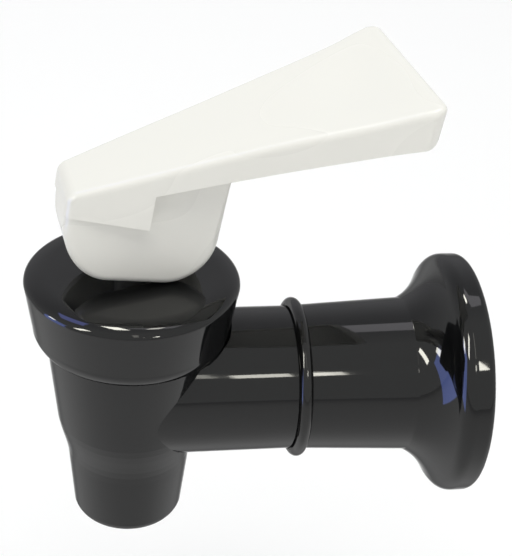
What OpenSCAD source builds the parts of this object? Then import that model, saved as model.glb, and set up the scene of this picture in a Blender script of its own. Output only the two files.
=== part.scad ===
// Self-closing dispenser spigot: black barrel and wall collar, white push lever.
// Origin: centre of the collar's back face. +X runs into the wall, +Z is up.

/* [Layout] */
// Distance from the wall face to the barrel's upright axis
axis_to_wall = 54.5; // [50:0.5:70]
// Height of the bonnet's top above the inlet axis
bonnet_top_h = 20.9; // [19.5:0.1:24]
// Depth of the nozzle's end below the inlet axis
nozzle_drop = 24.4; // [22:0.1:36]

/* [Barrel] */
// Radius of the neck that the bonnet screws onto
neck_r = 13.2; // [12.8:0.1:14]
// Barrel radius where it meets the nozzle
waist_r = 11.1; // [10.4:0.1:11.8]
// Height of that meeting, below the inlet axis
waist_drop = 8.8; // [7:0.1:10]
// Height over which the barrel blends into the nozzle
waist_blend = 8; // [4:0.5:10]
// Outer radius at the nozzle's end
nozzle_r = 8.7; // [8.2:0.1:9.6]
// How much the nozzle widens from its end up to the waist
nozzle_taper = 1.5; // [0.6:0.1:1.7]
// Radius of the nozzle's rounded lower edge
nozzle_edge_r = 2; // [0.6:0.1:2.2]
// Radius of the outlet bore at the nozzle's end
outlet_r = 6.2; // [5.4:0.1:6.5]
// Length of that bore
outlet_len = 12; // [9:0.5:13]
// Radius of the throat under the valve seat
throat_r = 4.6; // [3.6:0.1:5]
// Height of the valve seat below the inlet axis
seat_drop = 7; // [6:0.1:8]
// Thickness of the barrel's wall at the neck
barrel_wall = 2.3; // [1.8:0.1:2.6]
// Thickness of the barrel's wall at the chamber's floor
floor_wall = 1.9; // [1.5:0.1:2.4]

/* [Side arm] */
// Outer radius of the arm
arm_r = 11.55; // [10.8:0.05:11.7]
// Radius of the arm's tail inside the collar
tail_r = 8.6; // [7:0.1:9]
// Radius of the waterway
water_r = 4.3; // [3:0.1:4.6]
// Length of the tail inside the collar
tail_len = 10; // [6:0.5:10.5]

/* [Joint ring] */
// Distance from the wall face to the middle of the ring
ring_to_wall = 28.1; // [27.5:0.1:30]
// Radius of the ring's rounded bead
bead_r = 1.25; // [0.9:0.05:1.6]
// Thickness of the ring's web between the arm and the collar
ring_web = 1.8; // [1.2:0.1:2]

/* [Wall collar] */
// Outer radius at the ring
collar_r = 11.65; // [11.4:0.05:12]
// Outer radius where the flange starts to flare
collar_flare_r = 12.45; // [12.2:0.05:13]
// Distance from the wall face to the start of the flare
flare_len = 10.4; // [9:0.1:12]
// Outer radius of the flange
flange_r = 19.5; // [18:0.1:24]
// Thickness of the moulded walls of the collar
collar_wall = 2.4; // [1.8:0.1:2.8]
// Minor radius of the inlet thread, 7/16-20
inlet_r = 4.95; // [4.5:0.05:6]
// Length of the inlet thread
inlet_len = 14; // [10:0.5:14.5]
// Outer radius of the threaded boss
boss_r = 7.5; // [7:0.1:8.4]
// Thickness of the ribs from the boss to the flange
rib_t = 1.6; // [1:0.1:2.5]
// How far the ribs stop short of the wall face
rib_setback = 1.5; // [0.5:0.1:3]

/* [Bonnet] */
// Largest radius of the bonnet
bonnet_r = 16.45; // [16:0.05:18]
// Radius of the skirt above its rounded lower edge
skirt_r = 15.3; // [15.1:0.05:15.9]
// Height of the bonnet
bonnet_h = 11.6; // [11.2:0.1:12.6]
// Radius of the rounded lower edge of the skirt
skirt_edge_r = 3.1; // [2:0.1:4]
// Width of the rounded rim at the top
rim_round_w = 3.6; // [2:0.1:4.4]
// Height of that rim's rounding
rim_round_h = 1.5; // [0.8:0.1:2.4]
// Thickness of the bonnet's top
bonnet_top_t = 3.2; // [2.4:0.1:4]
// Radius of the stem guide under the top
guide_r = 4.5; // [4:0.1:4.8]
// Length of that guide below the top
guide_len = 2.8; // [1:0.1:4]
// Radial play of the thread, and of the skirt round the neck
thread_gap = 0.1; // [0.05:0.01:0.2]
// Gap between the skirt and the arm's relief
relief_gap = 0.4; // [0.3:0.05:0.8]

/* [Valve] */
// Radius of the stem
stem_r = 2.75; // [2.4:0.05:2.8]
// Radial running clearance of the stem, and of the lever on its pin
run_gap = 0.06; // [0.03:0.01:0.1]
// Gap between pieces that sit against each other
seat_gap = 0.05; // [0.02:0.01:0.1]
// Radius of the stem's shoulder
shoulder_r = 4.2; // [3.6:0.1:4.4]
// Thickness of the stem's shoulder
shoulder_t = 1.8; // [1.2:0.1:2.2]
// Radius of the knob that holds the seat cup
knob_r = 3.8; // [3.3:0.1:4.2]
// Height of that knob
knob_h = 3; // [2:0.1:3.4]
// Length of the neck between shoulder and knob
knob_neck = 3.2; // [2:0.1:3.6]
// Height of the stem above the pin
stem_cap = 2.4; // [1.8:0.1:2.8]
// Radius of the pin
pin_r = 1.5; // [1:0.05:1.7]
// Wall of the seat cup's bell
cup_wall = 1.1; // [0.8:0.1:1.3]
// Thickness of the seat cup's clamped rim
cup_rim_t = 1.4; // [1:0.1:1.8]
// Radius of the seat cup's tip
cup_tip_r = 6.3; // [5.9:0.1:6.6]
// Thickness of the seat cup's tip under the knob
cup_tip_t = 3.35; // [2.6:0.05:4]
// Height over which the seat cup's bell widens
cup_flare_h = 6; // [4:0.5:8]
// Thickness of the spring washer
washer_t = 1; // [0.6:0.1:1.4]
// Radius of the spring washer
washer_r = 6.3; // [6:0.1:6.6]
// Radius of the spring's wire
wire_r = 0.55; // [0.4:0.05:0.6]
// Mean radius of the spring
coil_r = 5.6; // [5.3:0.05:5.7]
// Number of open turns
open_turns = 4; // [3:1:5]

/* [Lever] */
// Turn of the lever away from the arm's line
lever_swivel = 6.6; // [-30:0.1:30]
// Lean of the lever at rest, from where its feet would lie flat
rest_lean = 8.5; // [4:0.5:10]
// Travel of the lever from rest to fully pressed
press_angle = 25; // [15:1:30]
// Height of the pin above the foot's lowest point at rest
pivot_h = 6.2; // [5.6:0.1:7]
// Distance of the foot's contact from the pin, which sets the lift
cam_offset = 4.4; // [3.6:0.1:5]
// Gap between the lever's feet and the bonnet
foot_gap = 0.3; // [0.2:0.05:0.5]
// Distance from the pin to the back and front edges of the cheeks
cheek_half = 11.7; // [10.5:0.1:12]
// Radius of the cheeks' rounded back corner
cheek_back_r = 7.6; // [3:0.1:8]
// Width over the two cheeks
head_w = 10.8; // [9:0.1:12]
// Gap between the stem and each cheek
cheek_gap = 0.2; // [0.15:0.05:0.4]
// Distance from the pin to the paddle's end
lever_reach = 37; // [30:0.2:44]
// Height of the paddle's top above the pin, at the head's back end
head_top = 8.5; // [7.5:0.1:9.5]
// Slope of the paddle's top in degrees
paddle_rise = 25.2; // [22:0.1:28]
// Slope of the side walls' lower edge in degrees
rim_rise = 22; // [18:0.5:22]
// Height of the side walls where they leave the head
rim_depth = 3.5; // [3:0.1:4.5]
// Height of the head's outer skin above the pin
skin_foot = 5.1; // [2:0.1:6]
// Half the paddle's width where its sides start to flare
flare_half_w = 11.1; // [10:0.1:12]
// Distance from the pin to the start of that flare
flare_from = 17; // [14:0.5:20]
// How late the flare opens: 1 is a straight side
flare_power = 1.8; // [1.2:0.1:2.4]
// Half the paddle's width at its end
end_half_w = 16.5; // [13:0.1:18]
// Rise of the lip at the paddle's end
lip_rise = 0.3; // [0:0.1:1]
// Length of that lip
lip_len = 7; // [6:0.5:14]
// Thickness of the lever's skin and side walls
lever_wall = 1.6; // [1.2:0.1:2]
// Radius of the paddle's rounded upper edges
edge_r = 1.2; // [0.8:0.1:1.4]
// Radius of the paddle's corners seen from above
corner_r = 1.8; // [1.5:0.1:4]

/* [Hidden] */
$fn = 96;
eps = 0.01;
ROUND_STEPS = 8;
CAM_STEPS = 12;

// Heights measured from the inlet axis
seat_z = -seat_drop;
nozzle_z = -nozzle_drop;
bonnet_low_z = bonnet_top_h - bonnet_h;
bonnet_ceiling_z = bonnet_top_h - bonnet_top_t;
neck_top_z = bonnet_ceiling_z - cup_rim_t;
pin_z = bonnet_top_h + foot_gap + pivot_h;
stem_hole_r = stem_r + run_gap;

// Bonnet's skirt: its rounded edge ends just outside the thread
skirt_in_r = neck_r + thread_gap;
skirt_lip = 0.2;
skirt_edge_a = -acos((skirt_in_r + skirt_lip - skirt_r + skirt_edge_r) / skirt_edge_r);
skirt_edge_c = [skirt_r - skirt_edge_r, bonnet_low_z - skirt_edge_r * sin(skirt_edge_a)];

// Chamber and seat
chamber_r = neck_r - barrel_wall;
chamber_low_r = waist_r - floor_wall;
seat_lip_w = 0.9;
seat_lip_h = 0.9;
chamber_floor_z = seat_z - seat_lip_h;

// Seat cup, and the stem that it holds, built up from the seat
cup_fit = 0.1;
cup_rim_inset = 0.6;
cup_bell_gap = 1;
washer_play = 0.5;
cup_rim_r = neck_r - cup_rim_inset;
cup_bell_r = chamber_r - cup_bell_gap;
cup_low_r = washer_r + washer_play + cup_wall;
cup_tip_z = seat_z + seat_gap;
knob_z = cup_tip_z + cup_tip_t + cup_fit;
shoulder_z = knob_z + knob_h + knob_neck + shoulder_t;
washer_z = shoulder_z + seat_gap;

// Arm, ring and collar along X, negative away from the wall
ring_x = -ring_to_wall;
arm_end_x = ring_x - ring_web / 2;
collar_end_x = ring_x + ring_web / 2;
tail_end_x = collar_end_x + tail_len;
socket_fit = 0.1;

// Flange: where its flare ends, and how far the hollow behind stops short of the flare's start
flange_round = 1.6;
flank_x = -5.2;
pocket_floor_gap = 0.4;

// Lever, measured from the pin with the feet lying flat
cam_spare = 2.5;
pin_cover = 0.6;
pin_end_gap = 0.1;
skin_lap = 0.2;
cheek_root = 1;
foot_h = pivot_h - cam_offset * rest_lean * PI / 180;
cam_end = rest_lean + press_angle + cam_spare;
slot_half = stem_r + cheek_gap;
pin_reach = head_w / 2 - pin_cover;
back_x = -cheek_half - skin_lap;
inner_back_x = back_x + lever_wall;
skin_t = lever_wall / cos(paddle_rise);
lip_from = lever_reach - lip_len;

// Points of a circular arc, centre [x, y], from angle a0 to a1
function arc(c, r, a0, a1, n = ROUND_STEPS) =
    [for (i = [0 : n]) let (a = a0 + (a1 - a0) * i / n) c + r * [cos(a), sin(a)]];

// Points of a quadratic curve that leaves a towards b and arrives at c
function curve(a, b, c, n = ROUND_STEPS) =
    [for (i = [0 : n]) let (t = i / n) (1 - t) * (1 - t) * a + 2 * t * (1 - t) * b + t * t * c];

// Smooth change from 0 to 1
function ease(t) = let (u = min(1, max(0, t))) u * u * (3 - 2 * u);

// Outer radius of the barrel and nozzle at height z
function barrel_r(z) =
    let (
        waist_z = -waist_drop,
        slope = (neck_r - waist_r) / (bonnet_low_z - waist_z),
        upper = neck_r - slope * (bonnet_low_z - z),
        lower = nozzle_r + nozzle_taper * (z - nozzle_z) / (waist_z - nozzle_z),
        t = (z - waist_z + waist_blend / 2) / waist_blend
    )
    lower + (upper - lower) * ease(t);

// Height of the paddle's top above the pin at distance x
function top_h(x) =
    head_top + tan(paddle_rise) * (x - back_x)
    + lip_rise * pow(max(0, (x - lip_from) / lip_len), 2);

// Height of the side walls' lower edge above the pin at distance x
function rim_h(x) = top_h(0) - rim_depth + tan(rim_rise) * x;

// Half the paddle's width at distance x
function half_w(x) =
    let (
        slope = (flare_half_w - head_w / 2) / (flare_from - back_x),
        past = max(0, x - flare_from),
        span = lever_reach - flare_from,
        extra = end_half_w - flare_half_w - slope * span
    )
    head_w / 2 + slope * (x - back_x) + extra * pow(past / span, flare_power);

// A profile turned about the barrel's axis
module turn_barrel(points) {
    translate([-axis_to_wall, 0, 0])
        rotate_extrude()
            polygon(points);
}

// A profile of [radius, x] turned about the inlet axis
module turn_inlet(points) {
    rotate([0, 90, 0])
        rotate_extrude()
            polygon(points);
}

// A cylinder along X, from x0 to x1
module bar_x(r, x0, x1) {
    translate([x0, 0, 0])
        rotate([0, 90, 0])
            cylinder(r = r, h = x1 - x0);
}

// The lever's own place: turned about the stem, leaning about the pin
module lever_place() {
    translate([-axis_to_wall, 0, pin_z])
        rotate([0, 0, lever_swivel])
            rotate([0, rest_lean, 0])
                children();
}

// Valve body: barrel, nozzle and side arm in one moulding
module body() {
    barrel_steps = 24;
    barrel_low_z = nozzle_z + nozzle_edge_r;
    edge_c = [barrel_r(barrel_low_z) - nozzle_edge_r, barrel_low_z];
    outline = concat(
        [[0, neck_top_z], [neck_r, neck_top_z]],
        [for (i = [0 : barrel_steps])
            let (z = bonnet_low_z + (barrel_low_z - bonnet_low_z) * i / barrel_steps) [barrel_r(z), z]],
        arc(edge_c, nozzle_edge_r, -10, -90),
        [[0, nozzle_z]]
    );
    color([0.09, 0.09, 0.1])
    difference() {
        union() {
            turn_barrel(outline);
            difference() {
                bar_x(arm_r, -axis_to_wall, arm_end_x);
                skirt_relief();
            }
            bar_x(tail_r, arm_end_x - eps, tail_end_x);
        }
        valve_chamber();
        bar_x(water_r, -axis_to_wall + chamber_low_r - 1, tail_end_x + eps);
        outlet_passage();
    }
}

// Room in the arm for the bonnet's skirt to turn
module skirt_relief() {
    grown = arc(skirt_edge_c, skirt_edge_r + relief_gap, 0, skirt_edge_a);
    low = grown[ROUND_STEPS];
    turn_barrel(concat(
        [[0, bonnet_top_h], [grown[0][0], bonnet_top_h]],
        grown,
        [[0, low[1]]]
    ));
}

// Room above the seat, with the seat's raised lip left standing
module valve_chamber() {
    seat_lip_r = throat_r + seat_lip_w;
    turn_barrel([
        [0, neck_top_z + eps],
        [chamber_r, neck_top_z + eps],
        [chamber_low_r, chamber_floor_z],
        [seat_lip_r, chamber_floor_z],
        [seat_lip_r, seat_z],
        [0, seat_z]
    ]);
}

// Throat under the seat, widening into the outlet bore
module outlet_passage() {
    outlet_top_z = nozzle_z + outlet_len;
    turn_barrel([
        [0, seat_z + eps],
        [throat_r, seat_z + eps],
        [throat_r, outlet_top_z + outlet_r - throat_r],
        [outlet_r, outlet_top_z],
        [outlet_r, nozzle_z - eps],
        [0, nozzle_z - eps]
    ]);
}

// Screw cap that holds the valve in the barrel
module bonnet() {
    rim_steps = 12;
    rim_c = [bonnet_r - rim_round_w, bonnet_top_h - rim_round_h];
    outline = concat(
        [[stem_hole_r, bonnet_top_h]],
        [for (i = [0 : rim_steps])
            let (a = 90 - 90 * i / rim_steps) rim_c + [rim_round_w * cos(a), rim_round_h * sin(a)]],
        arc(skirt_edge_c, skirt_edge_r, 0, skirt_edge_a),
        [
            [skirt_in_r, bonnet_low_z],
            [skirt_in_r, bonnet_ceiling_z],
            [guide_r, bonnet_ceiling_z],
            [guide_r, bonnet_ceiling_z - guide_len],
            [stem_hole_r, bonnet_ceiling_z - guide_len]
        ]
    );
    color([0.09, 0.09, 0.1])
        turn_barrel(outline);
}

// Wall collar: tube, flared flange and ribbed threaded boss in one moulding
module collar() {
    flare_x = -flare_len;
    flare_pull = [1.3, 3.1];
    flank = [flange_r - flange_round, flank_x];
    corner_x = -4.4;
    edge_x = -2.8;
    back_edge_r = 1.2;
    outline = concat(
        [[0, collar_end_x], [collar_r, collar_end_x]],
        curve([collar_flare_r, flare_x], [collar_flare_r, flare_x] + flare_pull, flank),
        curve(flank, [flange_r, corner_x], [flange_r, edge_x]),
        curve([flange_r, -back_edge_r], [flange_r, 0], [flange_r - back_edge_r, 0]),
        [[0, 0]]
    );
    color([0.09, 0.09, 0.1])
    difference() {
        turn_inlet(outline);
        bar_x(tail_r + socket_fit, collar_end_x - eps, tail_end_x + seat_gap);
        bar_x(water_r, tail_end_x, -inlet_len);
        bar_x(inlet_r, -inlet_len, eps);
        difference() {
            flange_pocket();
            for (a = [0, 90])
                rotate([a, 0, 0])
                    translate([flare_x, -flange_r, -rib_t / 2])
                        cube([flare_len - rib_setback, 2 * flange_r, rib_t]);
        }
    }
}

// Hollow behind the flange, between its shell and the threaded boss
module flange_pocket() {
    pocket_r = collar_flare_r - collar_wall;
    mouth_r = flange_r - collar_wall;
    draft = 0.3;
    shelf_x = -3.2;
    floor_x = -flare_len + pocket_floor_gap;
    turn_inlet([
        [boss_r, eps],
        [mouth_r, eps],
        [mouth_r - draft, shelf_x],
        [mouth_r - collar_wall, flank_x],
        [pocket_r, floor_x],
        [boss_r, floor_x]
    ]);
}

// Rubber ring squeezed between the arm and the collar, with a bead outside
module joint_ring() {
    web_in_r = tail_r + socket_fit;
    bead_low_r = collar_r + seat_gap;
    web_half = ring_web / 2 - seat_gap / 2;
    outline = concat(
        [[web_in_r, ring_x + web_half], [bead_low_r, ring_x + web_half]],
        [for (p = arc([bead_low_r, 0], bead_r, 90, -90, 16)) [p[0], ring_x + p[1]]],
        [[bead_low_r, ring_x - web_half], [web_in_r, ring_x - web_half]]
    );
    color([0.07, 0.07, 0.08])
        turn_inlet(outline);
}

// Silicone cup: its rim seals the bonnet, its tip closes the seat
module seat_cup() {
    tip_chamfer = 1;
    tip_draft = 0.4;
    tip_step = 1;
    floor_h = 0.6;
    bell_z = washer_z + cup_flare_h;
    outline = [
        [0, cup_tip_z],
        [cup_tip_r - tip_chamfer, cup_tip_z],
        [cup_tip_r, cup_tip_z + tip_chamfer],
        [cup_tip_r + tip_draft, shoulder_z - shoulder_t - tip_step],
        [cup_low_r, washer_z],
        [cup_bell_r, bell_z],
        [cup_bell_r, neck_top_z],
        [cup_rim_r, neck_top_z],
        [cup_rim_r, bonnet_ceiling_z - seat_gap],
        [cup_bell_r - cup_wall, bonnet_ceiling_z - seat_gap],
        [cup_bell_r - cup_wall, bell_z],
        [cup_low_r - cup_wall, washer_z + floor_h],
        [cup_low_r - cup_wall, shoulder_z],
        [shoulder_r + cup_fit, shoulder_z],
        [shoulder_r + cup_fit, shoulder_z - shoulder_t - cup_fit],
        [stem_r + cup_fit, shoulder_z - shoulder_t - cup_fit],
        [stem_r + cup_fit, knob_z + knob_h + cup_fit],
        [knob_r + cup_fit, knob_z + knob_h + cup_fit],
        [knob_r + cup_fit, knob_z - cup_fit],
        [0, knob_z - cup_fit]
    ];
    color([0.86, 0.86, 0.83])
        turn_barrel(outline);
}

// Return spring, wound from the washer up to the bonnet, with a closed turn at each end
module spring() {
    sides = 8;
    rings_per_turn = 14;
    turns = open_turns + 2;
    rings = turns * rings_per_turn;
    low_z = washer_z + washer_t + seat_gap + wire_r;
    high_z = bonnet_ceiling_z - seat_gap - wire_r;
    closed_pitch = 2 * wire_r + seat_gap;
    pitch = (high_z - low_z - 2 * closed_pitch) / open_turns;
    function coil_z(t) =
        low_z + closed_pitch * (min(t, 1) + max(0, t - turns + 1)) + pitch * min(open_turns, max(0, t - 1));
    points = [
        for (i = [0 : rings])
            let (t = i / rings_per_turn, a = 360 * t)
                for (j = [0 : sides - 1])
                    let (b = 360 * j / sides, r = coil_r + wire_r * cos(b))
                        [r * cos(a), r * sin(a), coil_z(t) + wire_r * sin(b)]
    ];
    walls = [
        for (i = [0 : rings - 1], j = [0 : sides - 1])
            let (k = (j + 1) % sides)
                [i * sides + j, i * sides + k, (i + 1) * sides + k, (i + 1) * sides + j]
    ];
    first_end = [for (j = [sides - 1 : -1 : 0]) j];
    last_end = [for (j = [0 : sides - 1]) rings * sides + j];
    color([0.75, 0.76, 0.78])
        translate([-axis_to_wall, 0, 0])
            polyhedron(points = points, faces = concat(walls, [first_end, last_end]));
}

// Steel washer between the spring and the stem's shoulder
module spring_washer() {
    color([0.7, 0.71, 0.73])
        translate([-axis_to_wall, 0, washer_z])
            difference() {
                cylinder(r = washer_r, h = washer_t);
                translate([0, 0, -eps])
                    cylinder(r = stem_hole_r, h = washer_t + 2 * eps);
            }
}

// Stem: knob and shoulder in the seat cup, rod up through the bonnet, cross hole for the pin
module stem() {
    stem_top_z = pin_z + pin_r + stem_cap;
    top_edge_r = 1.4;
    knob_chamfer = 0.8;
    outline = concat(
        [
            [0, knob_z],
            [knob_r - knob_chamfer, knob_z],
            [knob_r, knob_z + knob_chamfer],
            [knob_r, knob_z + knob_h],
            [stem_r, knob_z + knob_h],
            [stem_r, shoulder_z - shoulder_t],
            [shoulder_r, shoulder_z - shoulder_t],
            [shoulder_r, shoulder_z],
            [stem_r, shoulder_z]
        ],
        arc([stem_r - top_edge_r, stem_top_z - top_edge_r], top_edge_r, 0, 90),
        [[0, stem_top_z]]
    );
    color([0.93, 0.93, 0.9])
    difference() {
        turn_barrel(outline);
        translate([-axis_to_wall, 0, pin_z])
            rotate([0, 0, lever_swivel])
                rotate([90, 0, 0])
                    cylinder(r = pin_r + seat_gap / 2, h = 4 * stem_r, center = true);
    }
}

// Steel cross pin, its ends hidden in the lever's blind holes
module lever_pin() {
    color([0.75, 0.76, 0.78])
        translate([-axis_to_wall, 0, pin_z])
            rotate([0, 0, lever_swivel])
                rotate([90, 0, 0])
                    cylinder(r = pin_r, h = 2 * pin_reach, center = true);
}

// Outline of the cheeks: the front corner is a cam that lifts the pin in step with the lean
module cheek_outline() {
    back_c = [-cheek_half + cheek_back_r, -foot_h + cheek_back_r];
    cam = [
        for (i = [0 : CAM_STEPS])
            let (
                a = cam_end * i / CAM_STEPS,
                h = foot_h + cam_offset * a * PI / 180
            )
                [h * sin(a) + cam_offset * cos(a), -h * cos(a) + cam_offset * sin(a)]
    ];
    cam_last = cam[CAM_STEPS];
    front_r = (cheek_half - cam_last[0]) / (1 - sin(cam_end));
    front_c = cam_last - front_r * [sin(cam_end), -cos(cam_end)];
    polygon(concat(
        arc(back_c, cheek_back_r, 180, 270),
        cam,
        arc(front_c, front_r, cam_end - 90, 0),
        [
            [cheek_half, top_h(cheek_half) - edge_r],
            [0, top_h(0) - edge_r],
            [0, skin_foot + cheek_root],
            [-cheek_half, skin_foot + cheek_root]
        ]
    ));
}

// One rounded upper corner of the paddle
module top_corner(x, side) {
    translate([x, side * (half_w(x) - edge_r), top_h(x) - edge_r])
        sphere(r = edge_r, $fn = 32);
}

// One sharp corner at the foot of the paddle's side
module foot_corner(x, side, z) {
    translate([x, side * (half_w(x) - eps), z])
        cube([eps, 2 * eps, eps], center = true);
}

// Slice of the paddle between two distances from the pin
module paddle_slice(x0, x1) {
    hull() {
        for (side = [-1, 1], x = [x0, x1]) {
            top_corner(x, side);
            foot_corner(x, side, rim_h(x));
        }
    }
}

// The head's outer skin, which ends in a square step over the cheek
module paddle_head() {
    head_x = back_x + edge_r;
    hull() {
        for (side = [-1, 1]) {
            top_corner(head_x, side);
            top_corner(-edge_r, side);
            foot_corner(0, side, skin_foot);
            foot_corner(0, side, rim_h(0));
            translate([head_x, side * (half_w(head_x) - edge_r), skin_foot])
                cylinder(r = edge_r, h = eps, $fn = 32);
        }
    }
}

// Half the section of a disc with a rounded rim
module corner_profile() {
    intersection() {
        translate([corner_r - edge_r, 0])
            circle(r = edge_r, $fn = 24);
        translate([0, -edge_r])
            square([corner_r, 2 * edge_r]);
    }
}

// Last slice of the paddle, with its corners rounded seen from above
module paddle_end(x0) {
    end_x = lever_reach - corner_r;
    hull() {
        for (side = [-1, 1]) {
            top_corner(x0, side);
            foot_corner(x0, side, rim_h(x0));
            translate([end_x, side * (end_half_w - corner_r), top_h(end_x) - edge_r])
                rotate([0, -paddle_rise, 0])
                    rotate_extrude($fn = 32)
                        corner_profile();
            translate([end_x, side * (end_half_w - corner_r), rim_h(end_x)])
                cylinder(r = corner_r, h = eps, $fn = 32);
        }
    }
}

// Outside of the lever above the cheeks
module paddle_outside() {
    mid_x = (flare_from + lip_from) / 2;
    paddle_head();
    paddle_slice(-edge_r, flare_from);
    paddle_slice(flare_from, mid_x);
    paddle_slice(mid_x, lip_from);
    paddle_end(lip_from);
}

// Hollow under the paddle, open below
module paddle_hollow() {
    steps = 10;
    x0 = lever_wall;
    x1 = lever_reach - lever_wall;
    xs = [for (i = [0 : steps]) x0 + (x1 - x0) * i / steps];
    near = [for (x = xs) [x, -half_w(x) + lever_wall]];
    far = [for (i = [steps : -1 : 0]) [xs[i], half_w(xs[i]) - lever_wall]];
    intersection() {
        linear_extrude(height = 3 * lever_reach, center = true)
            polygon(concat(near, far));
        rotate([90, 0, 0])
            linear_extrude(height = 3 * end_half_w, center = true)
                polygon([
                    [x0, 0],
                    [x0, top_h(x0) - skin_t],
                    [lip_from, top_h(lip_from) - skin_t],
                    [x1, top_h(x1) - skin_t],
                    [x1, 0]
                ]);
    }
}

// Lever: paddle, head and two cheeks in one moulding, hollow underneath
module lever() {
    slot_front_x = cheek_half + cheek_root;
    slot = [
        [inner_back_x, -2 * foot_h],
        [inner_back_x, top_h(inner_back_x) - skin_t],
        [slot_front_x, top_h(slot_front_x) - skin_t],
        [slot_front_x, -2 * foot_h]
    ];
    color([0.93, 0.93, 0.91])
    lever_place()
    difference() {
        union() {
            difference() {
                paddle_outside();
                paddle_hollow();
            }
            rotate([90, 0, 0])
                linear_extrude(height = head_w, center = true)
                    cheek_outline();
        }
        rotate([90, 0, 0])
            linear_extrude(height = 2 * slot_half, center = true)
                polygon(slot);
        rotate([90, 0, 0])
            cylinder(r = pin_r + run_gap, h = 2 * (pin_reach + pin_end_gap), center = true);
    }
}

body();
bonnet();
collar();
joint_ring();
seat_cup();
spring();
spring_washer();
stem();
lever_pin();
lever();
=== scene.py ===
"""Dresses the dispenser spigot: detailed lever, valve parts that give way, materials, studio and camera.

Lengths are in millimetres up to new_object(), which makes metres of them.
The frame is the CAD's: origin in the middle of the wall face, +X into the wall, +Z up.
"""

import math

import bmesh
import bpy
from mathutils import Matrix, Vector


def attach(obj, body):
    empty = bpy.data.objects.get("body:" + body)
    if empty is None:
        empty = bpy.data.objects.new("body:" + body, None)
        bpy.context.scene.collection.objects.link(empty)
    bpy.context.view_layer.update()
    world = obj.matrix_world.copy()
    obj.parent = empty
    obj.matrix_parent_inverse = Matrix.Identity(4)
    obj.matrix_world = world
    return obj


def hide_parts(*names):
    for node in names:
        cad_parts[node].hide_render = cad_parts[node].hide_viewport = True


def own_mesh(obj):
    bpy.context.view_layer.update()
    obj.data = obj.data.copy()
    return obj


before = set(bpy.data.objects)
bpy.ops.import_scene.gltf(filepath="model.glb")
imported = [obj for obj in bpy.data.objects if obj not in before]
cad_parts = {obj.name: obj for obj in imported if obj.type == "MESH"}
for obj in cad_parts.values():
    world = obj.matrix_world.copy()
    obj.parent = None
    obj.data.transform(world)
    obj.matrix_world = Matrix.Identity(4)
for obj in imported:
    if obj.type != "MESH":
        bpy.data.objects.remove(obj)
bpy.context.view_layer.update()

MM = 0.001

# Places taken from the CAD
BARREL_X = -54.5
PIN_Z = 27.4
LEVER_SWIVEL = 6.6
REST_LEAN = 8.5
BONNET_CEILING_Z = 17.7
SEAT_Z = -6.95
RING_X = -28.1
COLLAR_X = -27.2
FLANGE_R = 19.5
BONNET_TOP_Z = 20.9
BONNET_LOW_Z = 9.3

# Lever, measured from the pin with its feet lying flat
FOOT_H = 5.547
CAM_OFFSET = 4.4
CAM_END = 36.0
CHEEK_HALF = 11.7
CHEEK_BACK_W = 7.6
CHEEK_BACK_H = 9.8
CHEEK_HALF_W = 5.4
CHEEK_EDGE_R = 1.4
SLOT_HALF_W = 2.95
PIN_BORE_R = 1.56
PIN_BORE_HALF = 4.9
BACK_X = -11.9
END_X = 37.0
SKIN_FOOT_Z = 5.1
WALL = 1.6
EDGE_R = 1.15
BACK_CORNER_R = 1.25
END_CORNER_R = 2.1
END_FOOT_R = 1.7
DISH_X = 29.0
DISH_HALF = 7.5
DISH_DEPTH = 0.5
RIM_Z = 10.6
RIM_SLOPE = math.tan(math.radians(22))
# Height of the paddle's upper edge, and half its width, at distances from the pin
TOP_STATIONS = [
    (-11.9, 8.5), (-1.9, 13.25), (7.5, 17.68), (17.0, 22.15), (26.4, 26.37),
    (30.2, 28.2), (33.0, 29.7), (37.0, 31.6),
]
WIDTH_STATIONS = [
    (-11.9, 5.5), (-1.9, 7.47), (7.5, 9.2), (17.0, 11.15), (26.4, 13.4),
    (30.2, 14.37), (33.0, 15.2), (37.0, 16.5),
]

# Camera of the photograph
AIM = (-34.666, 3.906, 16.612)
AIM_DISTANCE = 219.99
VIEW_AZIMUTH = -10.860
VIEW_ELEVATION = 32.146
VIEW_ROLL = 4.491
LENS = 90.155

FLOOR_Z = -130.0
FLOOR_HALF = 6000.0
LAMP_DISTANCE = 1.5
ROOM_PALE = (0.92, 0.93, 0.92)
ROOM_DULL = (0.56, 0.56, 0.58)
ROOM_MATTE = (0.565, 0.565, 0.57)
WARM = (1.0, 0.98, 0.88)
COOL = (0.96, 0.98, 1.0)


# ---- geometry helpers ----


def through(stations, x):
    """Smooth curve through stations of (x, value), with Catmull-Rom slopes."""
    last = len(stations) - 1
    i = 0
    while i < last - 1 and x > stations[i + 1][0]:
        i += 1

    def slope(k):
        before, after = stations[max(k - 1, 0)], stations[min(k + 1, last)]
        return (after[1] - before[1]) / (after[0] - before[0])

    (x0, v0), (x1, v1) = stations[i], stations[i + 1]
    span = x1 - x0
    t = (x - x0) / span
    rise = (2 * t**3 - 3 * t**2 + 1) * v0 + (3 * t**2 - 2 * t**3) * v1
    return rise + span * ((t**3 - 2 * t**2 + t) * slope(i) + (t**3 - t**2) * slope(i + 1))


def new_object(name, points, faces, place=None):
    """Closed mesh from points in millimetres, with coinciding points merged and faces turned outwards."""
    place = place or Matrix.Identity(4)
    mesh = bpy.data.meshes.new(name)
    mesh.from_pydata([place @ Vector(p) * MM for p in points], [], faces)
    work = bmesh.new()
    work.from_mesh(mesh)
    bmesh.ops.remove_doubles(work, verts=work.verts, dist=0.001 * MM)
    bmesh.ops.recalc_face_normals(work, faces=work.faces)
    work.to_mesh(mesh)
    work.free()
    piece = bpy.data.objects.new(name, mesh)
    bpy.context.scene.collection.objects.link(piece)
    return piece


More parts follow.
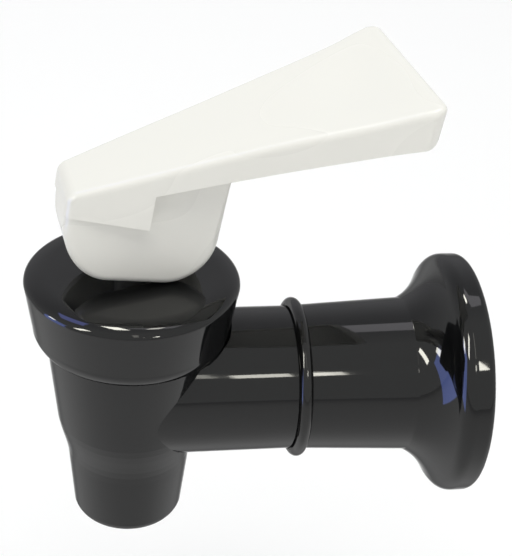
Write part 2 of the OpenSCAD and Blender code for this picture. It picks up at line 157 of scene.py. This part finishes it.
def combine(piece, tool, operation):
    """Joins the tool to the piece, or cuts it out, and deletes the tool."""
    step = piece.modifiers.new("combine", "BOOLEAN")
    step.operation = operation
    step.solver = "EXACT"
    step.object = tool
    depsgraph = bpy.context.evaluated_depsgraph_get()
    made = bpy.data.meshes.new_from_object(piece.evaluated_get(depsgraph))
    piece.modifiers.clear()
    piece.data = made
    bpy.data.objects.remove(tool)


def smooth(piece, angle=32.0):
    """Smooth shading with creases sharper than the angle kept, and flat faces left flat."""
    mesh = piece.data
    mesh.polygons.foreach_set("use_smooth", [True] * len(mesh.polygons))
    mesh.set_sharp_from_angle(angle=math.radians(angle))
    weighted = piece.modifiers.new("normals", "WEIGHTED_NORMAL")
    weighted.keep_sharp = True
    weighted.weight = 80


def dress(piece, body, material):
    """Gives the piece its material and record slot, and the body it moves with."""
    piece.data.materials.clear()
    piece.data.materials.append(material)
    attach(piece, body)


def revolve(name, outline, place, sides=96):
    """Closed outline of (radius, distance along the axis) turned about the axis that place() gives."""
    points = []
    for radius, along in outline:
        for k in range(sides):
            a = 2 * math.pi * k / sides
            points.append(place(radius * math.cos(a), radius * math.sin(a), along))
    count = len(outline)
    faces = []
    for i in range(count):
        j = (i + 1) % count
        if outline[i][0] == 0 and outline[j][0] == 0:
            continue
        for k in range(sides):
            m = (k + 1) % sides
            faces.append((i * sides + k, i * sides + m, j * sides + m, j * sides + k))
    return new_object(name, points, faces)


def upright(x, y, along):
    """A place on the barrel's axis."""
    return BARREL_X + x, y, along


def level(x, y, along):
    """A place on the inlet's axis."""
    return along, x, y


def slab(name, rows, levels, top, bottom, columns=10):
    """Solid between a top and a bottom, on rows of plan points across the lever.

    rows: functions of the inset that return (x, half width).
    levels: (inset, drop below the top) from the upper face's border down the rounded edge.
    """
    count = len(rows)
    points = []

    def point(row, column, inset, height):
        x, half = rows[row](inset)
        y = half * (2 * column / columns - 1)
        points.append((x, y, height(row, x, y)))
        return len(points) - 1

    def grid(inset, height):
        return [[point(r, c, inset, height) for c in range(columns + 1)] for r in range(count)]

    border = [(0, c) for c in range(columns)] + [(r, columns) for r in range(count - 1)]
    border += [(count - 1, c) for c in range(columns, 0, -1)] + [(r, 0) for r in range(count - 1, 0, -1)]
    upper = grid(levels[0][0], lambda r, x, y: top(x, y))
    loops = [[upper[r][c] for r, c in border]]
    for inset, drop in levels[1:]:
        loops.append([point(r, c, inset, lambda k, x, y: top(x, y) - drop) for r, c in border])
    loops.append([point(r, c, 0, lambda k, x, y: bottom(k, x)[0]) for r, c in border])
    lower = grid(0, lambda r, x, y: bottom(r, x)[1])
    loops.append([lower[r][c] for r, c in border])
    faces = []
    for a, b in zip(loops, loops[1:]):
        for k in range(len(border)):
            m = (k + 1) % len(border)
            faces.append((a[k], a[m], b[m], b[k]))
    for sheet in (upper, lower):
        for r in range(count - 1):
            for c in range(columns):
                faces.append((sheet[r][c], sheet[r][c + 1], sheet[r + 1][c + 1], sheet[r + 1][c]))
    return new_object(name, points, faces)


def steps(start, end, count):
    """Evenly spaced values from start to end, both included."""
    return [start + (end - start) * i / count for i in range(count + 1)]


def plan_rows(half_width, start, end, start_r, end_r, stations):
    """Rows of a plan with straight ends and rounded corners, for slab()."""
    start_y = half_width(start + start_r) - start_r
    end_y = half_width(end - end_r) - end_r
    rows = []
    for a in steps(0, 80, 8):
        t = math.radians(a)
        rows.append(
            lambda i, t=t: (start + start_r - (start_r - i) * math.cos(t), start_y + (start_r - i) * math.sin(t))
        )
    for x in stations:
        rows.append(lambda i, x=x: (x, half_width(x) - i))
    for a in steps(80, 0, 8):
        t = math.radians(a)
        rows.append(lambda i, t=t: (end - end_r + (end_r - i) * math.cos(t), end_y + (end_r - i) * math.sin(t)))
    return rows


def rounded_levels(radius, count=7):
    """Insets and drops of an edge rounded to this radius."""
    return [
        (radius * (1 - math.cos(math.radians(a))), radius * (1 - math.sin(math.radians(a))))
        for a in steps(90, 0, count)
    ]


# ---- lever ----


def lever_top(x):
    return through(TOP_STATIONS, min(max(x, BACK_X), END_X))


def paddle_top(x, y):
    """Upper face, with a shallow dish for the thumb near the wide end."""
    along = (x - DISH_X) / DISH_HALF
    across = y / (lever_half_width(x) - 2.0)
    if abs(along) >= 1 or abs(across) >= 1:
        return lever_top(x)
    return lever_top(x) - DISH_DEPTH * (1 - along**2) ** 2 * (1 - across**2) ** 2


def lever_half_width(x):
    return through(WIDTH_STATIONS, min(max(x, BACK_X), END_X))


def rim_z(x):
    """Lower edge of the side walls, rounded up into the end wall."""
    past = min(END_FOOT_R, max(0.0, x - END_X + END_FOOT_R))
    return RIM_Z + RIM_SLOPE * x + END_FOOT_R - math.sqrt(END_FOOT_R**2 - past**2)


def paddle_outside():
    """The paddle and the head's outer skin, with a square step down to the skin's foot at x = 0."""
    head = steps(BACK_X + BACK_CORNER_R, 0, 10)
    paddle = steps(0, END_X - END_CORNER_R, 34)
    rows = plan_rows(lever_half_width, BACK_X, END_X, BACK_CORNER_R, END_CORNER_R, head + paddle)
    head_rows = 9 + len(head)
    share = (rim_z(0) - SKIN_FOOT_Z) / (lever_top(0) - EDGE_R - SKIN_FOOT_Z)

    def bottom(row, x):
        if row < head_rows:
            return SKIN_FOOT_Z + share * (lever_top(x) - EDGE_R - SKIN_FOOT_Z), SKIN_FOOT_Z
        return rim_z(x), rim_z(x)

    return slab("lever_detail", rows, rounded_levels(EDGE_R), paddle_top, bottom, columns=28)


def paddle_hollow():
    """Room under the paddle, cut out of it."""
    start, end = WALL, END_X - WALL
    fillet = 0.8

    def half(x):
        return lever_half_width(x) - WALL

    def ceiling(x, y):
        return lever_top(x) - WALL / math.cos(math.radians(26))

    rows = plan_rows(half, start, end, 1.2, END_CORNER_R - WALL + 0.4, steps(start + 1.2, end - 1.7, 30))
    return slab("hollow", rows, rounded_levels(fillet, 4), ceiling, lambda r, x: (rim_z(x) - 1, rim_z(x) - 6))


def cheek_outline():
    """Outline of a cheek: its front corner is the cam that rolls on the bonnet."""
    points = []
    centre = (-CHEEK_HALF + CHEEK_BACK_W, -FOOT_H + CHEEK_BACK_H)
    for a in steps(180, 270, 18):
        t = math.radians(a)
        points.append((centre[0] + CHEEK_BACK_W * math.cos(t), centre[1] + CHEEK_BACK_H * math.sin(t)))
    for a in steps(0, CAM_END, 12):
        t = math.radians(a)
        h = FOOT_H + CAM_OFFSET * t
        points.append((h * math.sin(t) + CAM_OFFSET * math.cos(t), -h * math.cos(t) + CAM_OFFSET * math.sin(t)))
    end = math.radians(CAM_END)
    front_r = (CHEEK_HALF - points[-1][0]) / (1 - math.sin(end))
    centre = (points[-1][0] - front_r * math.sin(end), points[-1][1] + front_r * math.cos(end))
    for a in steps(CAM_END - 90, 0, 12)[1:]:
        t = math.radians(a)
        points.append((centre[0] + front_r * math.cos(t), centre[1] + front_r * math.sin(t)))
    points.append((CHEEK_HALF, lever_top(CHEEK_HALF) - 1.2))
    points.append((-CHEEK_HALF, 7.0))
    return points


def cheeks():
    """Both cheeks in one block, with rounded edges; slot() parts them."""
    outline = cheek_outline()
    count = len(outline)
    normals = []
    for k in range(count):
        before, after = outline[k - 1], outline[(k + 1) % count]
        along = Vector((after[0] - before[0], after[1] - before[1])).normalized()
        normals.append((along.y, -along.x))
    rings = [(inset, CHEEK_HALF_W - drop) for inset, drop in rounded_levels(CHEEK_EDGE_R, 6)]
    rings.insert(0, (CHEEK_EDGE_R + 0.9, CHEEK_HALF_W))
    rings = [(i, -y) for i, y in rings] + [(i, y) for i, y in reversed(rings)]
    points = []
    for inset, y in rings:
        for (x, z), (nx, nz) in zip(outline, normals):
            points.append((x - nx * inset, y, z - nz * inset))
    faces = [tuple(range(count)), tuple(range((len(rings) - 1) * count, len(rings) * count))]
    for r in range(len(rings) - 1):
        for k in range(count):
            m = (k + 1) % count
            faces.append((r * count + k, r * count + m, (r + 1) * count + m, (r + 1) * count + k))
    return new_object("cheeks", points, faces)


def slot():
    """Room for the stem between the cheeks."""
    inner_x, front_x = BACK_X + WALL, CHEEK_HALF + 1
    skin = WALL / math.cos(math.radians(26))
    side = [
        (inner_x, -3 * FOOT_H),
        (inner_x, lever_top(inner_x) - skin),
        (front_x, lever_top(front_x) - skin),
        (front_x, -3 * FOOT_H),
    ]
    points = [(x, y, z) for y in (-SLOT_HALF_W, SLOT_HALF_W) for x, z in side]
    faces = [(0, 1, 2, 3), (4, 5, 6, 7)] + [(k, (k + 1) % 4, 4 + (k + 1) % 4, 4 + k) for k in range(4)]
    return new_object("slot", points, faces)


def pin_bore():
    """Blind holes for the pin, in both cheeks."""
    sides = 32
    ring = [(PIN_BORE_R * math.cos(t), PIN_BORE_R * math.sin(t)) for t in steps(0, 2 * math.pi, sides)[:-1]]
    points = [(x, y, z) for y in (-PIN_BORE_HALF, PIN_BORE_HALF) for x, z in ring]
    faces = [tuple(range(sides)), tuple(range(sides, 2 * sides))]
    faces += [(k, (k + 1) % sides, sides + (k + 1) % sides, sides + k) for k in range(sides)]
    return new_object("pin_bore", points, faces)


def make_lever():
    lever = paddle_outside()
    combine(lever, paddle_hollow(), "DIFFERENCE")
    combine(lever, cheeks(), "UNION")
    combine(lever, slot(), "DIFFERENCE")
    combine(lever, pin_bore(), "DIFFERENCE")
    place = Matrix.Translation(Vector((BARREL_X, 0, PIN_Z)) * MM)
    turn = Matrix.Rotation(math.radians(LEVER_SWIVEL), 4, "Z") @ Matrix.Rotation(math.radians(REST_LEAN), 4, "Y")
    lever.data.transform(place @ turn)
    smooth(lever)
    return lever


# ---- soft and sprung parts of the valve ----


def make_spring():
    """Round wire wound from the washer to the bonnet, a closed turn at each end."""
    wire_r, coil_r, turns, sides, per_turn = 0.55, 5.6, 6, 12, 36
    low, high = 5.6 + wire_r, BONNET_CEILING_Z - 0.05 - wire_r
    closed = 2 * wire_r + 0.05
    pitch = (high - low - 2 * closed) / (turns - 2)
    count = turns * per_turn
    points = []
    for i in range(count + 1):
        t = i / per_turn
        z = low + closed * (min(t, 1) + max(0, t - turns + 1)) + pitch * min(turns - 2, max(0, t - 1))
        a = 2 * math.pi * t
        for b in steps(0, 2 * math.pi, sides)[:-1]:
            r = coil_r + wire_r * math.cos(b)
            points.append((BARREL_X + r * math.cos(a), r * math.sin(a), z + wire_r * math.sin(b)))
    faces = [tuple(range(sides)), tuple(range(count * sides, (count + 1) * sides))]
    for i in range(count):
        for j in range(sides):
            k = (j + 1) % sides
            faces.append((i * sides + j, i * sides + k, (i + 1) * sides + k, (i + 1) * sides + j))
    spring = new_object("spring_detail", points, faces)
    smooth(spring, 60)
    return spring


def make_seat_cup():
    """Silicone cup: rim clamped under the bonnet, bell, and the tip that closes the seat."""
    outline = [
        (0, SEAT_Z), (5.3, SEAT_Z), (6.0, SEAT_Z + 0.3), (6.3, SEAT_Z + 1), (6.7, 1.7),
        (7.9, 4.55), (8.4, 5.6), (9.5, 9.2), (9.9, 10.55), (9.9, 16.3), (12.6, 16.3), (12.6, 17.65),
        (8.8, 17.65), (8.8, 10.55), (8.4, 9.2), (7.3, 6.2), (6.8, 5.15), (6.8, 4.5),
        (4.3, 4.5), (4.3, 2.6), (2.85, 2.6), (2.85, 0.1), (3.9, 0.1), (3.9, -3.6), (0, -3.6),
    ]
    cup = revolve("seat_cup_detail", outline, upright)
    smooth(cup, 40)
    return cup


def make_joint_ring():
    """Rubber ring squeezed between arm and collar, with its bead outside."""
    web_in_r, web_out_r, web_half = 8.7, 11.7, 0.875
    bead_r, bead_centre_r = 1.05, 11.85
    outline = [(web_in_r, RING_X + web_half), (web_out_r, RING_X + web_half)]
    for a in steps(90, -90, 20):
        t = math.radians(a)
        outline.append((bead_centre_r + bead_r * math.cos(t), RING_X + bead_r * math.sin(t)))
    outline += [(web_out_r, RING_X - web_half), (web_in_r, RING_X - web_half)]
    ring = revolve("joint_ring_detail", outline, level, 144)
    smooth(ring, 40)
    return ring


def bend(a, b, c, count=16):
    """Points of a quadratic curve that leaves a towards b and arrives at c."""
    points = []
    for t in steps(0, 1, count):
        points.append(tuple((1 - t) ** 2 * p + 2 * t * (1 - t) * q + t**2 * r for p, q, r in zip(a, b, c)))
    return points


def make_bonnet():
    """Screw cap with its rounded rim and skirt edge, in finer steps than the CAD's."""
    hole_r, top_r, rim_w, rim_h = 2.81, 16.45, 3.6, 1.5
    skirt_r, skirt_in_r, edge_r = 15.3, 13.3, 3.1
    guide_r, guide_z = 4.5, BONNET_CEILING_Z - 2.8
    outline = [(hole_r, BONNET_TOP_Z)]
    for a in steps(90, 0, 28):
        t = math.radians(a)
        outline.append((top_r - rim_w + rim_w * math.cos(t), BONNET_TOP_Z - rim_h + rim_h * math.sin(t)))
    low = -math.acos((skirt_in_r + 0.2 - skirt_r + edge_r) / edge_r)
    for t in steps(0, low, 16):
        outline.append((skirt_r - edge_r + edge_r * math.cos(t), BONNET_LOW_Z + edge_r * (math.sin(t) - math.sin(low))))
    outline += [
        (skirt_in_r, BONNET_LOW_Z), (skirt_in_r, BONNET_CEILING_Z), (guide_r, BONNET_CEILING_Z),
        (guide_r, guide_z), (hole_r, guide_z),
    ]
    bonnet = revolve("bonnet_detail", outline, upright, 128)
    smooth(bonnet)
    return bonnet


def make_collar():
    """Collar and wall flange with their bores, and the ribbed pocket in the flange's back."""
    socket_r, water_r, inlet_r, boss_r, wall = 8.7, 4.3, 4.95, 7.5, 2.4
    flare, flank = (12.45, -10.4), (FLANGE_R - 1.6, -5.2)
    outline = [(socket_r, COLLAR_X), (11.65, COLLAR_X)]
    outline += bend(flare, (flare[0] + 1.3, flare[1] + 3.1), flank, 28)
    outline += bend(flank, (FLANGE_R, -4.4), (FLANGE_R, -2.8), 12)[1:]
    outline += bend((FLANGE_R, -1.2), (FLANGE_R, 0), (FLANGE_R - 1.2, 0), 10)
    outline += [(inlet_r, 0), (inlet_r, -14), (water_r, -14), (water_r, COLLAR_X + 10.05), (socket_r, COLLAR_X + 10.05)]
    collar = revolve("collar_detail", outline, level, 144)
    mouth_r, floor_x = FLANGE_R - wall, -10.0
    pocket = revolve(
        "pocket",
        [
            (boss_r, 0.05), (mouth_r, 0.05), (mouth_r - 0.3, -3.2), (mouth_r - wall, flank[1]),
            (flare[0] - wall, floor_x), (boss_r, floor_x),
        ],
        level, 144,
    )
    for across in (0, 1):
        half = (FLANGE_R, 0.8) if across else (0.8, FLANGE_R)
        points = [(x, y, z) for x in (-10.4, -1.5) for y in (-half[0], half[0]) for z in (-half[1], half[1])]
        faces = [(0, 1, 3, 2), (4, 5, 7, 6), (0, 1, 5, 4), (2, 3, 7, 6), (0, 2, 6, 4), (1, 3, 7, 5)]
        combine(pocket, new_object("rib", points, faces), "DIFFERENCE")
    combine(collar, pocket, "DIFFERENCE")
    smooth(collar)
    return collar


# ---- materials ----


def moulded(name, colour, roughness, specular, grain=0.0, grain_size=0.2, mottle=0.06, patch=9.0, metallic=0.0, dull_rims=False):
    """Plastic, rubber or metal with a fine moulded grain and a slight unevenness of gloss and tone."""
    material = bpy.data.materials.new(name)
    material.use_nodes = True
    nodes, links = material.node_tree.nodes, material.node_tree.links
    shader = nodes["Principled BSDF"]
    shader.inputs["Metallic"].default_value = metallic
    shader.inputs["Specular IOR Level"].default_value = specular
    if dull_rims:
        glance = nodes.new("ShaderNodeLayerWeight")
        fade = nodes.new("ShaderNodeMapRange")
        fade.interpolation_type = "SMOOTHSTEP"
        fade.inputs["From Min"].default_value = 0.42
        fade.inputs["From Max"].default_value = 0.8
        fade.inputs["To Min"].default_value = specular
        fade.inputs["To Max"].default_value = 0.01
        links.new(glance.outputs["Facing"], fade.inputs["Value"])
        links.new(fade.outputs["Result"], shader.inputs["Specular IOR Level"])
    place = nodes.new("ShaderNodeTexCoord")

    def noise(size, detail):
        texture = nodes.new("ShaderNodeTexNoise")
        texture.inputs["Scale"].default_value = 1 / (size * MM)
        texture.inputs["Detail"].default_value = detail
        links.new(place.outputs["Object"], texture.inputs["Vector"])
        return texture.outputs["Fac"]

    def spread(source, low, high, socket):
        scaled = nodes.new("ShaderNodeMapRange")
        scaled.inputs["From Min"].default_value = 0.1
        scaled.inputs["From Max"].default_value = 0.9
        scaled.inputs["To Min"].default_value = low
        scaled.inputs["To Max"].default_value = high
        links.new(source, scaled.inputs["Value"])
        links.new(scaled.outputs["Result"], socket)

    broad = noise(patch, 0.0)
    spread(broad, roughness * 0.9, roughness * 1.1, shader.inputs["Roughness"])
    if mottle:
        tone = nodes.new("ShaderNodeMix")
        tone.data_type = "RGBA"
        tone.inputs["A"].default_value = (*[c * (1 - mottle) for c in colour], 1)
        tone.inputs["B"].default_value = (*[min(1, c * (1 + mottle)) for c in colour], 1)
        spread(broad, 0, 1, tone.inputs["Factor"])
        links.new(tone.outputs["Result"], shader.inputs["Base Color"])
    else:
        shader.inputs["Base Color"].default_value = (*colour, 1)
    if grain:
        bump = nodes.new("ShaderNodeBump")
        bump.inputs["Strength"].default_value = grain
        bump.inputs["Distance"].default_value = 0.02 * MM
        links.new(noise(grain_size, 2.0), bump.inputs["Height"])
        links.new(bump.outputs["Normal"], shader.inputs["Normal"])
    return material


def repaint(node, material):
    """Puts the material in every slot of a CAD node."""
    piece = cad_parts[node]
    if not piece.material_slots:
        piece.data.materials.append(material)
    for place in piece.material_slots:
        place.material = material


# ---- studio ----


def direction(azimuth, elevation):
    """Unit vector towards this azimuth and elevation, azimuth 0 being the front."""
    a, e = math.radians(azimuth), math.radians(elevation)
    return Vector((math.sin(a) * math.cos(e), -math.cos(a) * math.cos(e), math.sin(e)))


def lamp(name, azimuth, elevation, width, height, radiance, colour=WARM, matte=False, distance=LAMP_DISTANCE):
    """Rectangular lamp of this angular size in degrees, for the gloss or for the matte light."""
    light = bpy.data.lights.new(name, "AREA")
    light.shape = "RECTANGLE"
    light.size = 2 * distance * math.tan(math.radians(width / 2))
    light.size_y = 2 * distance * math.tan(math.radians(height / 2))
    light.energy = radiance * math.pi * light.size * light.size_y
    light.color = colour
    holder = bpy.data.objects.new(name, light)
    bpy.context.scene.collection.objects.link(holder)
    towards = direction(azimuth, elevation)
    holder.location = Vector(AIM) * MM + towards * distance
    holder.rotation_euler = towards.to_track_quat("Z", "Y").to_euler()
    holder.visible_camera = False
    holder.visible_diffuse = matte
    holder.visible_glossy = not matte


def make_floor():
    half = FLOOR_HALF
    corners = [(-half, -half, FLOOR_Z), (half, -half, FLOOR_Z), (half, half, FLOOR_Z), (-half, half, FLOOR_Z)]
    floor = new_object("floor", corners, [(0, 1, 2, 3)])
    floor.data.materials.append(moulded("floor_white", (0.98, 0.98, 0.98), 0.8, 0.0, mottle=0.0))


def make_world():
    """Pale room, duller low down behind the object, and dimmer for the matte light."""
    world = bpy.data.worlds.new("studio")
    world.use_nodes = True
    nodes, links = world.node_tree.nodes, world.node_tree.links
    place = nodes.new("ShaderNodeTexCoord")
    facing = nodes.new("ShaderNodeVectorMath")
    facing.operation = "DOT_PRODUCT"
    facing.inputs[1].default_value = direction(180, 28)
    links.new(place.outputs["Generated"], facing.inputs[0])
    ramp = nodes.new("ShaderNodeValToRGB")
    pale, dull = ramp.color_ramp.elements
    pale.position, pale.color = 0.3, (*ROOM_PALE, 1)
    dull.position, dull.color = 0.8, (*ROOM_DULL, 1)
    links.new(facing.outputs["Value"], ramp.inputs["Fac"])
    path = nodes.new("ShaderNodeLightPath")
    seen = path.outputs["Is Camera Ray"]
    for kind in ("Is Glossy Ray", "Is Transmission Ray"):
        both = nodes.new("ShaderNodeMath")
        both.operation = "MAXIMUM"
        links.new(seen, both.inputs[0])
        links.new(path.outputs[kind], both.inputs[1])
        seen = both.outputs["Value"]
    mix = nodes.new("ShaderNodeMix")
    mix.data_type = "RGBA"
    mix.inputs["A"].default_value = (*ROOM_MATTE, 1)
    links.new(seen, mix.inputs["Factor"])
    links.new(ramp.outputs["Color"], mix.inputs["B"])
    links.new(mix.outputs["Result"], nodes["Background"].inputs["Color"])
    bpy.context.scene.world = world


def make_camera():
    camera = bpy.data.cameras.new("camera")
    camera.sensor_fit = "AUTO"
    camera.sensor_width = 36
    camera.lens = LENS
    camera.clip_start = 0.01
    camera.clip_end = 100
    back = direction(VIEW_AZIMUTH, VIEW_ELEVATION)
    level = Vector((math.cos(math.radians(VIEW_AZIMUTH)), math.sin(math.radians(VIEW_AZIMUTH)), 0))
    upright = back.cross(level)
    roll = math.radians(VIEW_ROLL)
    right = math.cos(roll) * level + math.sin(roll) * upright
    up = -math.sin(roll) * level + math.cos(roll) * upright
    holder = bpy.data.objects.new("camera", camera)
    turn = Matrix((right, up, back)).transposed().to_4x4()
    holder.matrix_world = Matrix.Translation((Vector(AIM) + AIM_DISTANCE * back) * MM) @ turn
    bpy.context.scene.collection.objects.link(holder)
    bpy.context.scene.camera = holder


# ---- the part ----

black = moulded("black_plastic", (0.0045, 0.0047, 0.005), 0.05, 0.38, grain=0.06, grain_size=1.2, dull_rims=True)
rubber = moulded("ring_rubber", (0.005, 0.005, 0.005), 0.1, 0.42, grain=0.05, dull_rims=True)
white = moulded("white_plastic", (0.84, 0.835, 0.785), 0.27, 0.45, grain=0.08, grain_size=0.8, mottle=0.01, patch=30)
acetal = moulded("stem_plastic", (0.80, 0.80, 0.76), 0.3, 0.5, grain=0.05, mottle=0.01)
silicone = moulded("seat_silicone", (0.72, 0.72, 0.68), 0.45, 0.4, grain=0.05, mottle=0.01)
steel = moulded("steel", (0.62, 0.63, 0.65), 0.22, 0.5, mottle=0.03, metallic=1.0)

for node in ("body", "bonnet", "collar"):
    repaint(node, black)
repaint("joint_ring", rubber)
repaint("stem", acetal)
repaint("seat_cup", silicone)
repaint("lever", white)
for node in ("spring", "spring_washer", "lever_pin"):
    repaint(node, steel)

lever = make_lever()
dress(lever, "lever", white)
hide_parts("lever")

for made, node in ((make_bonnet(), "bonnet"), (make_collar(), "collar")):
    dress(made, "housing", black)
    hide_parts(node)

spring = make_spring()
dress(spring, "housing", steel)
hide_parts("spring")
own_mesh(spring)

seat_cup = make_seat_cup()
dress(seat_cup, "housing", silicone)
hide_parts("seat_cup")
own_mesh(seat_cup)

ring = make_joint_ring()
dress(ring, "housing", rubber)
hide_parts("joint_ring")

make_floor()
make_world()
lamp("sky_back", 178, 68, 34, 26, 3.6, COOL, matte=True)
lamp("sky_front", -6, 66, 30, 24, 4.5, (1.0, 0.985, 0.93), matte=True)
lamp("sky_left", -84, 30, 30, 24, 0.6, COOL, matte=True)
lamp("key", -164, 73, 6.5, 10, 28)
lamp("back_right", 155, 76.2, 6, 6, 12, distance=0.2465)
lamp("front_left", 8.2, 38.5, 1.0, 6, 7)
lamp("front_right", 10.3, 31.3, 6, 5, 17, distance=0.145)
lamp("front_end", 22.6, 37, 3.5, 8, 28)
lamp("front_high", 0, 58, 4, 24, 2.6)
lamp("left_high", -63, 41, 7, 24, 28)
lamp("left_low", -90, 18, 7, 10, 22)
lamp("ceiling", 146, 68, 22, 12, 1.8, (0.97, 0.94, 1.0))
lamp("window", -83, 0, 24, 42, 4.8, (0.22, 0.33, 1.0), distance=0.32)
lamp("window_high", -126, 60, 16, 14, 4.0, (0.28, 0.34, 1.0))
make_camera()
bpy.context.scene.view_settings.view_transform = "Standard"
